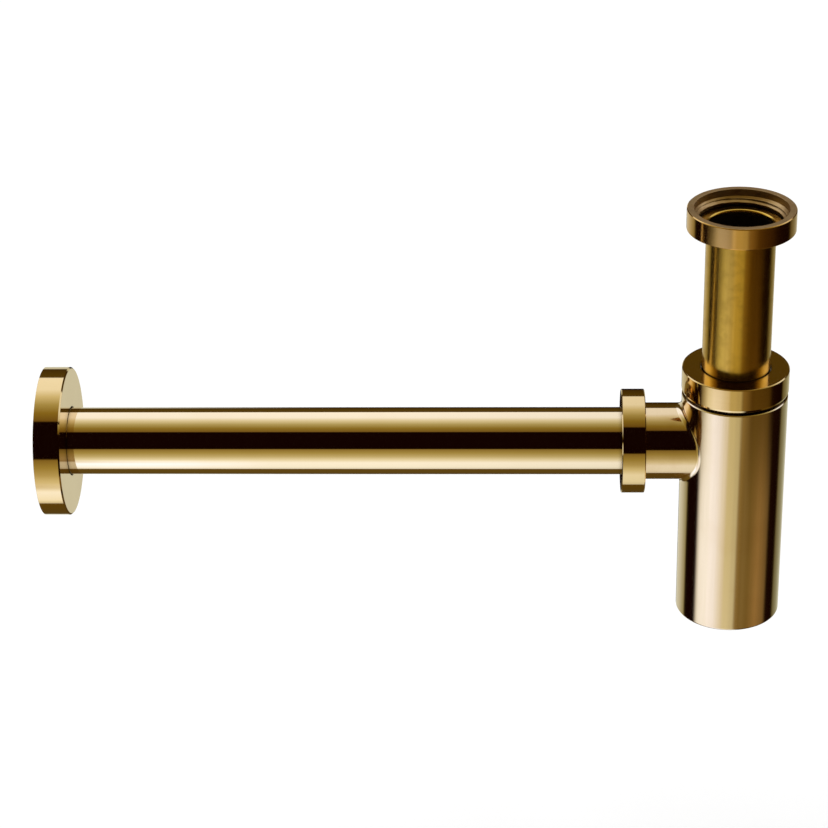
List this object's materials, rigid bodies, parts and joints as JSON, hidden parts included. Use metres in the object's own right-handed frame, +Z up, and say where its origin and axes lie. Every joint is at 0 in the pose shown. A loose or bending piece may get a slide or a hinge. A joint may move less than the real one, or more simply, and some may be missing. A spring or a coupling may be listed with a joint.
{
  "type": "bottle trap",
  "caption": "Wash basin bottle trap with a threaded inlet nut, height-adjustable dip tube, upright bottle with a side branch, straight outlet pipe and a sliding round wall flange.",
  "frame": {"origin": "centre of the inlet's sealing face: the flat top of the dip tube's lip, at the inner end of the inlet nut's thread, where the basin waste's end seats", "axes": "+Z up out of the inlet nut's mouth, along the bottle's axis; the outlet pipe runs along -X to the wall; +Y away from the picture's camera"},
  "size_m": [0.3537, 0.071, 0.2111],
  "materials": {
    "polished_metal": "mirror-polished, warm gold",
    "satin_metal": "finely brushed, warm gold",
    "rubber": "matt black",
    "nylon": "off-white, satin"
  },
  "bodies": {
    "inlet_nut": {"inlet_nut": "polished_metal"},
    "inlet_tube": {"inlet_tube": "satin_metal"},
    "collar_seal": {"collar_seal": "rubber"},
    "bottle": {"bottle_body": "satin_metal"},
    "collar_slip_ring": {"collar_slip_ring": "nylon"},
    "collar_nut": {"collar_nut": "polished_metal"},
    "outlet_slip_ring": {"outlet_slip_ring": "nylon"},
    "outlet_nut": {"outlet_nut": "polished_metal"},
    "outlet_seal": {"outlet_seal": "rubber"},
    "outlet_pipe": {"outlet_pipe": "polished_metal"},
    "flange_o_ring": {"flange_o_ring": "rubber"},
    "wall_flange": {"wall_flange": "polished_metal"}
  },
  "joints": [
    {"name": "inlet_swivel", "type": "hinge", "parent": "inlet_nut", "child": "inlet_tube", "pos_m": [0, 0, 0], "axis": [0, 0, 1], "continuous": true},
    {"name": "height_slide", "type": "slide", "parent": "inlet_tube", "child": "collar_seal", "axis": [0, 0, 1], "range_m": [-0.05, 0.016]},
    {"name": "bottle_swivel", "type": "hinge", "parent": "collar_seal", "child": "bottle", "pos_m": [0, 0, -0.0782], "axis": [0, 0, 1], "continuous": true},
    {"name": "collar_nut_lift", "type": "slide", "parent": "bottle", "child": "collar_slip_ring", "axis": [0, 0, 1], "range_m": [0, 0.0076]},
    {"name": "collar_nut_turn", "type": "hinge", "parent": "collar_slip_ring", "child": "collar_nut", "pos_m": [0, 0, -0.0785], "axis": [0, 0, 1], "range_deg": [0, 1800]},
    {"name": "outlet_nut_travel", "type": "slide", "parent": "bottle", "child": "outlet_slip_ring", "axis": [-1, 0, 0], "range_m": [0, 0.0066]},
    {"name": "outlet_nut_turn", "type": "hinge", "parent": "outlet_slip_ring", "child": "outlet_nut", "pos_m": [-0.0476, 0, -0.1126], "axis": [-1, 0, 0], "range_deg": [0, 1020]},
    {"name": "pipe_turn", "type": "hinge", "parent": "bottle", "child": "outlet_seal", "pos_m": [-0.0481, 0, -0.1126], "axis": [-1, 0, 0], "continuous": true},
    {"name": "pipe_slide", "type": "slide", "parent": "outlet_seal", "child": "outlet_pipe", "axis": [-1, 0, 0], "range_m": [-0.0018, 0.018]},
    {"name": "flange_slide", "type": "slide", "parent": "outlet_pipe", "child": "flange_o_ring", "axis": [1, 0, 0], "range_m": [0, 0.252]},
    {"name": "flange_turn", "type": "hinge", "parent": "flange_o_ring", "child": "wall_flange", "pos_m": [-0.3215, 0, -0.1126], "axis": [-1, 0, 0], "continuous": true}
  ],
  "couplings": [
    {"joint": "collar_nut_lift", "follows": "collar_nut_turn", "m_per_rad": 0.00023873},
    {"joint": "outlet_nut_travel", "follows": "outlet_nut_turn", "m_per_rad": 0.00036749}
  ]
}
